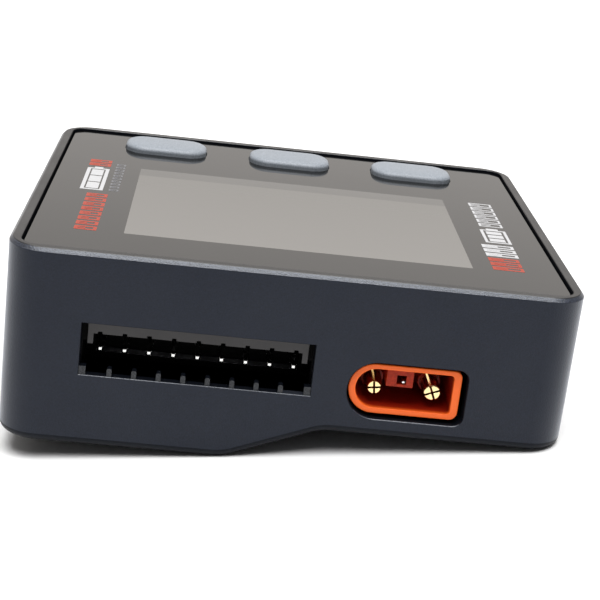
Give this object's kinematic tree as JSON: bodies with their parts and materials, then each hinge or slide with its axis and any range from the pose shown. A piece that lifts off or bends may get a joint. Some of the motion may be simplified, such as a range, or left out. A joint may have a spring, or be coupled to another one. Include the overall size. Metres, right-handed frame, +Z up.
{
  "type": "balance battery charger",
  "caption": "Palm-sized battery checker and balancer with a display, pill-shaped buttons, a pin-header balance port and a D-shaped power port.",
  "frame": {"origin": "centre of the box's footprint, at the height of the surface that the object rests on", "axes": "+X along the width to the right seen from the port face, +Y from the port face to the back, +Z up"},
  "size_m": [0.0608, 0.0538, 0.0233],
  "materials": {
    "case_plastic": "satin, finely textured",
    "panel_gloss": "polished black with printed marks",
    "inner_plastic": "moulded",
    "foam": "soft foam",
    "display": "unlit display glass with polariser",
    "diffuser": "milky",
    "flex": "amber film",
    "connector_cream": "moulded",
    "board": "solder mask",
    "header_plastic": "moulded nylon",
    "socket_orange": "moulded nylon",
    "gold_plate": "gold plated",
    "tin_plate": "bright tin",
    "button_rubber": "fine matt grain",
    "screw_steel": "dark zinc",
    "chip_epoxy": "moulded epoxy"
  },
  "bodies": {
    "checker": {"case_shell": "case_plastic", "front_panel": "panel_gloss", "panel_gasket": "foam", "inner_frame": "inner_plastic", "lcd_glass": "display", "lcd_backlight": "diffuser", "lcd_flex": "flex", "lcd_connector": "connector_cream", "main_board": "board", "balance_socket_shell": "header_plastic", "balance_pin_1": "tin_plate", "balance_pin_2": "tin_plate", "balance_pin_3": "tin_plate", "balance_pin_4": "tin_plate", "balance_pin_5": "tin_plate", "balance_pin_6": "tin_plate", "balance_pin_7": "tin_plate", "balance_pin_8": "tin_plate", "balance_pin_9": "tin_plate", "power_socket_shell": "socket_orange", "power_contact_left": "gold_plate", "power_contact_right": "gold_plate", "power_data_pin": "tin_plate", "switch_body_1": "screw_steel", "switch_body_2": "screw_steel", "switch_body_3": "screw_steel", "case_screw_1": "screw_steel", "case_screw_2": "screw_steel", "case_screw_3": "screw_steel", "case_screw_4": "screw_steel", "processor_chip": "chip_epoxy", "balancer_chip": "chip_epoxy", "bleed_resistor_1": "chip_epoxy", "bleed_resistor_2": "chip_epoxy", "bleed_resistor_3": "chip_epoxy", "bleed_resistor_4": "chip_epoxy", "bleed_resistor_5": "chip_epoxy", "bleed_resistor_6": "chip_epoxy", "bleed_resistor_7": "chip_epoxy", "bleed_resistor_8": "chip_epoxy", "buzzer": "chip_epoxy", "power_inductor": "chip_epoxy", "filter_capacitor": "tin_plate"},
    "button_left": {"button_cap_1": "button_rubber", "switch_plunger_1": "header_plastic"},
    "button_middle": {"button_cap_2": "button_rubber", "switch_plunger_2": "header_plastic"},
    "button_right": {"button_cap_3": "button_rubber", "switch_plunger_3": "header_plastic"}
  },
  "joints": [
    {"name": "left_press", "type": "slide", "parent": "checker", "child": "button_left", "axis": [-0.1119, 0, -0.9937], "range_m": [0, 0.0003], "stiffness_N_per_m": 3000, "springref_m": -0.0003},
    {"name": "middle_press", "type": "slide", "parent": "checker", "child": "button_middle", "axis": [-0.1119, 0, -0.9937], "range_m": [0, 0.0003], "stiffness_N_per_m": 3000, "springref_m": -0.0003},
    {"name": "right_press", "type": "slide", "parent": "checker", "child": "button_right", "axis": [-0.1119, 0, -0.9937], "range_m": [0, 0.0003], "stiffness_N_per_m": 3000, "springref_m": -0.0003}
  ]
}
